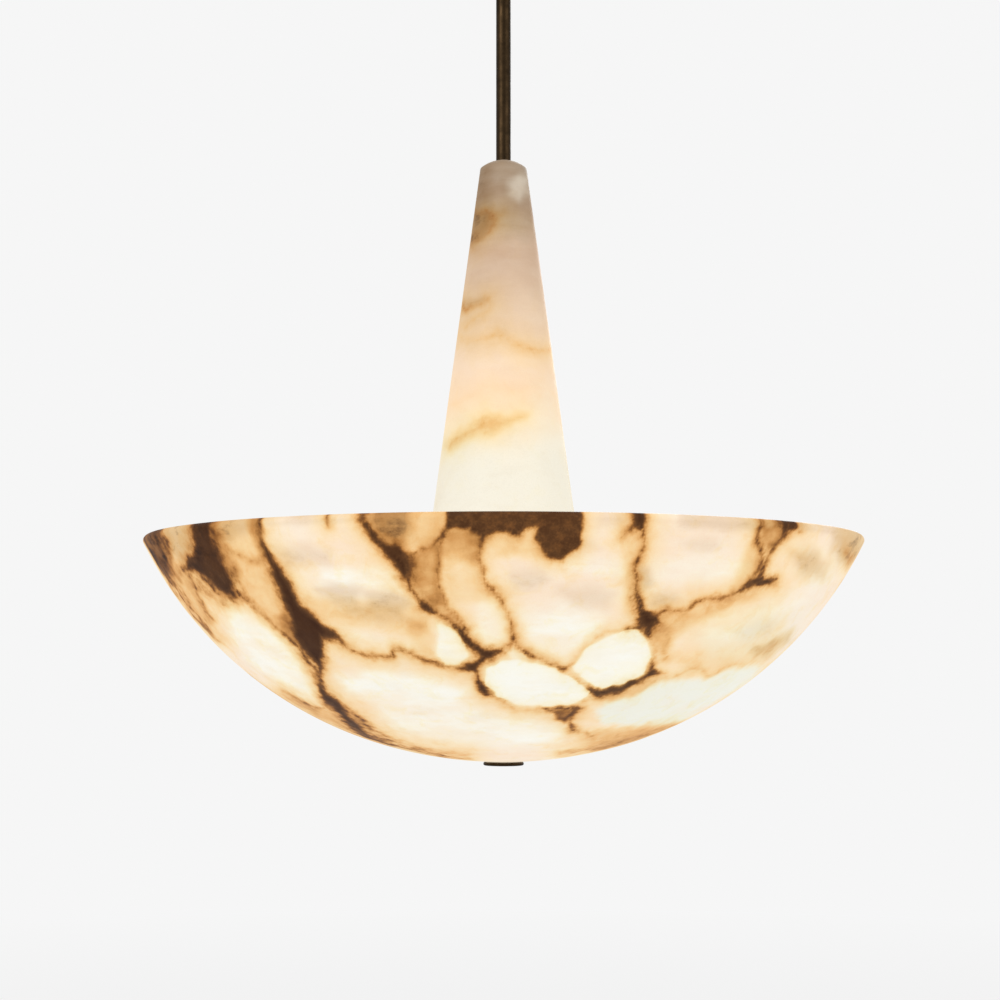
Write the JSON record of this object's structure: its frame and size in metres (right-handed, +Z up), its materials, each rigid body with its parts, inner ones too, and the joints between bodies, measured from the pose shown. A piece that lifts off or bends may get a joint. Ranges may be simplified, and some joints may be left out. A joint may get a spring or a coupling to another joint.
{
  "type": "alabaster bowl pendant light",
  "caption": "Ceiling pendant with a veined stone bowl hung on a bronze rod, a hollow stone cone on the rod above it, and lamps inside the bowl that light it upwards.",
  "frame": {"origin": "middle of the bracket on the ceiling plane", "axes": "+Z up towards the ceiling, the bowl hangs below; the bracket's strap lies along X"},
  "size_m": [0.5987, 0.5988, 0.7262],
  "materials": {
    "alabaster": "polished",
    "bronze": "satin",
    "brass": "brushed",
    "steel": "zinc plated",
    "screw_brass": "plain",
    "terminal_plastic": "moulded",
    "lead_sheath": "matt",
    "wire_sleeve": "glass braid",
    "gasket_rubber": "silicone",
    "shell_metal": "nickel plated",
    "holder_porcelain": "glazed",
    "cap_metal": "plain",
    "opal_glass": "opal"
  },
  "bodies": {
    "ceiling": {"ceiling_bracket": "steel", "socket_screws": "steel", "block_screws": "steel", "earth_screw": "screw_brass", "earth_nut": "steel", "terminal_block": "terminal_plastic", "clamp_screws": "screw_brass", "ceiling_lead": "lead_sheath", "swivel_socket": "steel"},
    "canopy": {"canopy": "bronze"},
    "canopy_ring": {"canopy_ring": "bronze"},
    "swivel_pins": {"swivel_pins": "steel"},
    "stem": {"swivel_ball": "brass", "ball_nipple": "steel", "down_rod": "bronze", "hub_nipple": "steel", "hub_nut": "steel", "main_lead": "lead_sheath", "cone_gasket": "gasket_rubber", "cone_gallery": "brass", "junction_body": "brass", "junction_cover": "brass", "connector_block": "terminal_plastic", "tie_rod": "steel", "tie_rod_nut": "steel", "stem_sleeve": "bronze", "bowl_lock_nut": "brass", "bowl_plate": "brass", "bowl_gasket_upper": "gasket_rubber", "arm_1": "brass", "arm_2": "brass", "arm_3": "brass", "arm_4": "brass", "arm_wires_1": "wire_sleeve", "arm_wires_2": "wire_sleeve", "arm_wires_3": "wire_sleeve", "arm_wires_4": "wire_sleeve", "holder_1": "holder_porcelain", "holder_2": "holder_porcelain", "holder_3": "holder_porcelain", "holder_4": "holder_porcelain", "holder_shell_1": "shell_metal", "holder_shell_2": "shell_metal", "holder_shell_3": "shell_metal", "holder_shell_4": "shell_metal"},
    "cone": {"cone": "alabaster", "cone_bush": "brass"},
    "bowl": {"bowl": "alabaster", "bowl_gasket_lower": "gasket_rubber"},
    "finial": {"finial": "bronze"},
    "lamp_1": {"lamp_cap_1": "cap_metal", "lamp_glass_1": "opal_glass"},
    "lamp_2": {"lamp_cap_2": "cap_metal", "lamp_glass_2": "opal_glass"},
    "lamp_3": {"lamp_cap_3": "cap_metal", "lamp_glass_3": "opal_glass"},
    "lamp_4": {"lamp_cap_4": "cap_metal", "lamp_glass_4": "opal_glass"}
  },
  "joints": [
    {"name": "canopy_drop", "type": "slide", "parent": "ceiling", "child": "canopy", "axis": [0, 0, 1], "range_m": [-0.025, 0]},
    {"name": "canopy_ring_turn", "type": "hinge", "parent": "canopy", "child": "canopy_ring", "pos_m": [0, 0, -0.03404], "axis": [0, 0, 1], "continuous": true},
    {"name": "swivel_tilt_y", "type": "hinge", "parent": "ceiling", "child": "swivel_pins", "pos_m": [0, 0, -0.03001], "axis": [0, 1, 0], "range_deg": [-15, 15]},
    {"name": "swivel_tilt_x", "type": "hinge", "parent": "swivel_pins", "child": "stem", "pos_m": [0, 0, -0.03001], "axis": [1, 0, 0], "range_deg": [-15, 15]},
    {"name": "cone_lift", "type": "slide", "parent": "stem", "child": "cone", "axis": [0, 0, 1], "range_m": [0, 0.12]},
    {"name": "bowl_lower", "type": "slide", "parent": "stem", "child": "bowl", "axis": [0, 0, 1], "range_m": [-0.25, 0]},
    {"name": "finial_turn", "type": "hinge", "parent": "bowl", "child": "finial", "pos_m": [0, 0, -0.72337], "axis": [0, 0, 1], "continuous": true},
    {"name": "lamp_1_out", "type": "slide", "parent": "stem", "child": "lamp_1", "axis": [0.6964, 0.6964, 0.1736], "range_m": [0, 0.027]},
    {"name": "lamp_2_out", "type": "slide", "parent": "stem", "child": "lamp_2", "axis": [-0.6964, 0.6964, 0.1736], "range_m": [0, 0.027]},
    {"name": "lamp_3_out", "type": "slide", "parent": "stem", "child": "lamp_3", "axis": [-0.6964, -0.6964, 0.1736], "range_m": [0, 0.027]},
    {"name": "lamp_4_out", "type": "slide", "parent": "stem", "child": "lamp_4", "axis": [0.6964, -0.6964, 0.1736], "range_m": [0, 0.027]}
  ]
}
